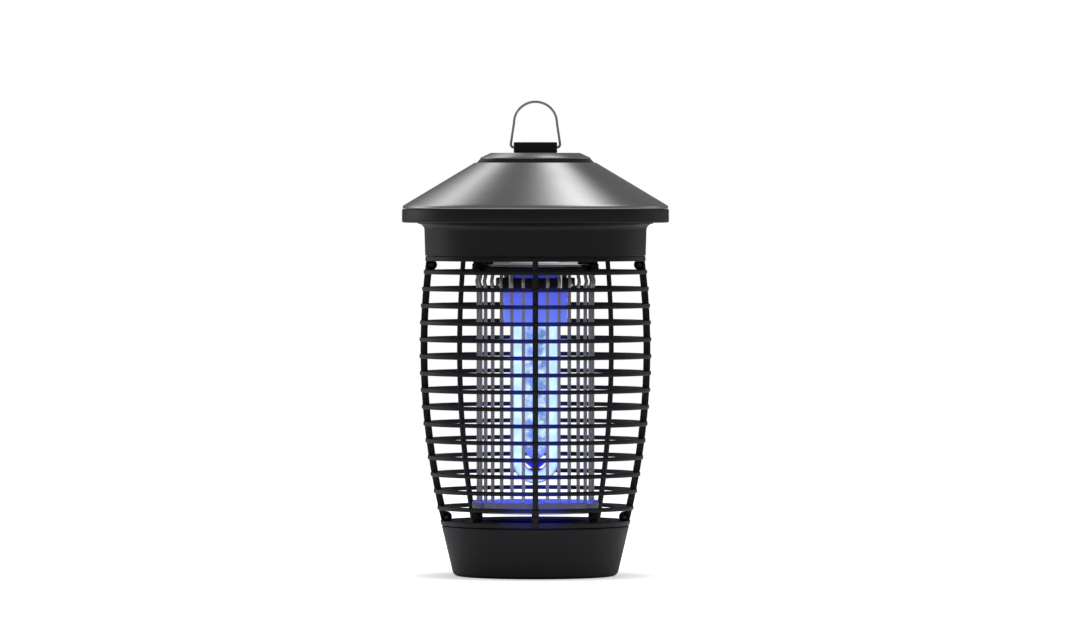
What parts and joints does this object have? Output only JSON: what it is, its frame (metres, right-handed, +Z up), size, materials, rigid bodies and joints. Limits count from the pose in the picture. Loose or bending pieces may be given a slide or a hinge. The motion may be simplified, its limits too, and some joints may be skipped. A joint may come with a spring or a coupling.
{
  "type": "electric bug zapper",
  "caption": "Hanging lantern bug zapper: a steel cone roof over a louvred guard with a high-voltage rod grid round a UV lamp, and a twist-off tray below.",
  "frame": {"origin": "middle of the face that the tray stands on", "axes": "+Z up to the hanging bail, -Y to the front, +X to the right seen from the front"},
  "size_m": [0.22, 0.22, 0.3917],
  "materials": {
    "black_plastic": "satin moulded plastic",
    "brushed_steel": "radially brushed stainless steel",
    "bright_steel": "bright drawn steel wire and pressings",
    "rubber": "black rubber",
    "insulator_white": "white translucent insulator",
    "lamp_glass": "glowing ultraviolet tube",
    "lamp_head": "violet lit lamp head",
    "blue_plastic": "deep blue translucent plastic",
    "circuit": "green resin board",
    "winding": "varnished copper winding",
    "capacitor": "dipped film capacitor"
  },
  "bodies": {
    "housing": {"floor_spider": "black_plastic", "guard_front": "black_plastic", "guard_rear": "black_plastic", "upper_insulator": "black_plastic", "lamp_socket": "black_plastic", "lamp_holder": "black_plastic", "deck": "black_plastic", "collar": "black_plastic", "roof_rim": "black_plastic", "bail_bracket": "black_plastic", "lower_insulator": "insulator_white", "roof_cone": "brushed_steel", "roof_cap": "brushed_steel", "cap_gasket": "rubber", "cord_bush": "rubber", "grid_rods_upper": "bright_steel", "grid_rods_lower": "bright_steel", "lamp_cap": "bright_steel", "lamp_clip_front": "bright_steel", "lamp_clip_rear": "bright_steel", "grid_standoff_1": "black_plastic", "grid_post_1": "black_plastic", "guard_screw_1": "bright_steel", "standoff_screw_1": "bright_steel", "deck_screw_1": "bright_steel", "grid_standoff_2": "black_plastic", "grid_post_2": "black_plastic", "guard_screw_2": "bright_steel", "standoff_screw_2": "bright_steel", "deck_screw_2": "bright_steel", "grid_standoff_3": "black_plastic", "grid_post_3": "black_plastic", "guard_screw_3": "bright_steel", "standoff_screw_3": "bright_steel", "deck_screw_3": "bright_steel", "grid_standoff_4": "black_plastic", "grid_post_4": "black_plastic", "guard_screw_4": "bright_steel", "standoff_screw_4": "bright_steel", "deck_screw_4": "bright_steel", "bracket_screw_1": "bright_steel", "bracket_screw_2": "bright_steel", "capacitor_1": "capacitor", "capacitor_2": "capacitor", "capacitor_3": "capacitor", "lamp_head": "lamp_head", "lamp_tube_outer": "lamp_glass", "lamp_tube_inner": "lamp_glass", "lamp_spacer": "blue_plastic", "circuit_board": "circuit", "transformer": "winding", "choke": "winding"},
    "bail": {"hanging_bail": "bright_steel"},
    "tray_lock": {"lock_ring": "black_plastic"},
    "tray": {"tray": "black_plastic"}
  },
  "joints": [
    {"name": "bail_swing", "type": "hinge", "parent": "housing", "child": "bail", "pos_m": [0, 0, 0.35323], "axis": [1, 0, 0], "range_deg": [-90, 90]},
    {"name": "tray_twist", "type": "hinge", "parent": "housing", "child": "tray_lock", "pos_m": [0, 0, 0.036], "axis": [0, 0, 1], "range_deg": [0, 30]},
    {"name": "tray_drop", "type": "slide", "parent": "tray_lock", "child": "tray", "axis": [0, 0, -1], "range_m": [0, 0.06]}
  ]
}
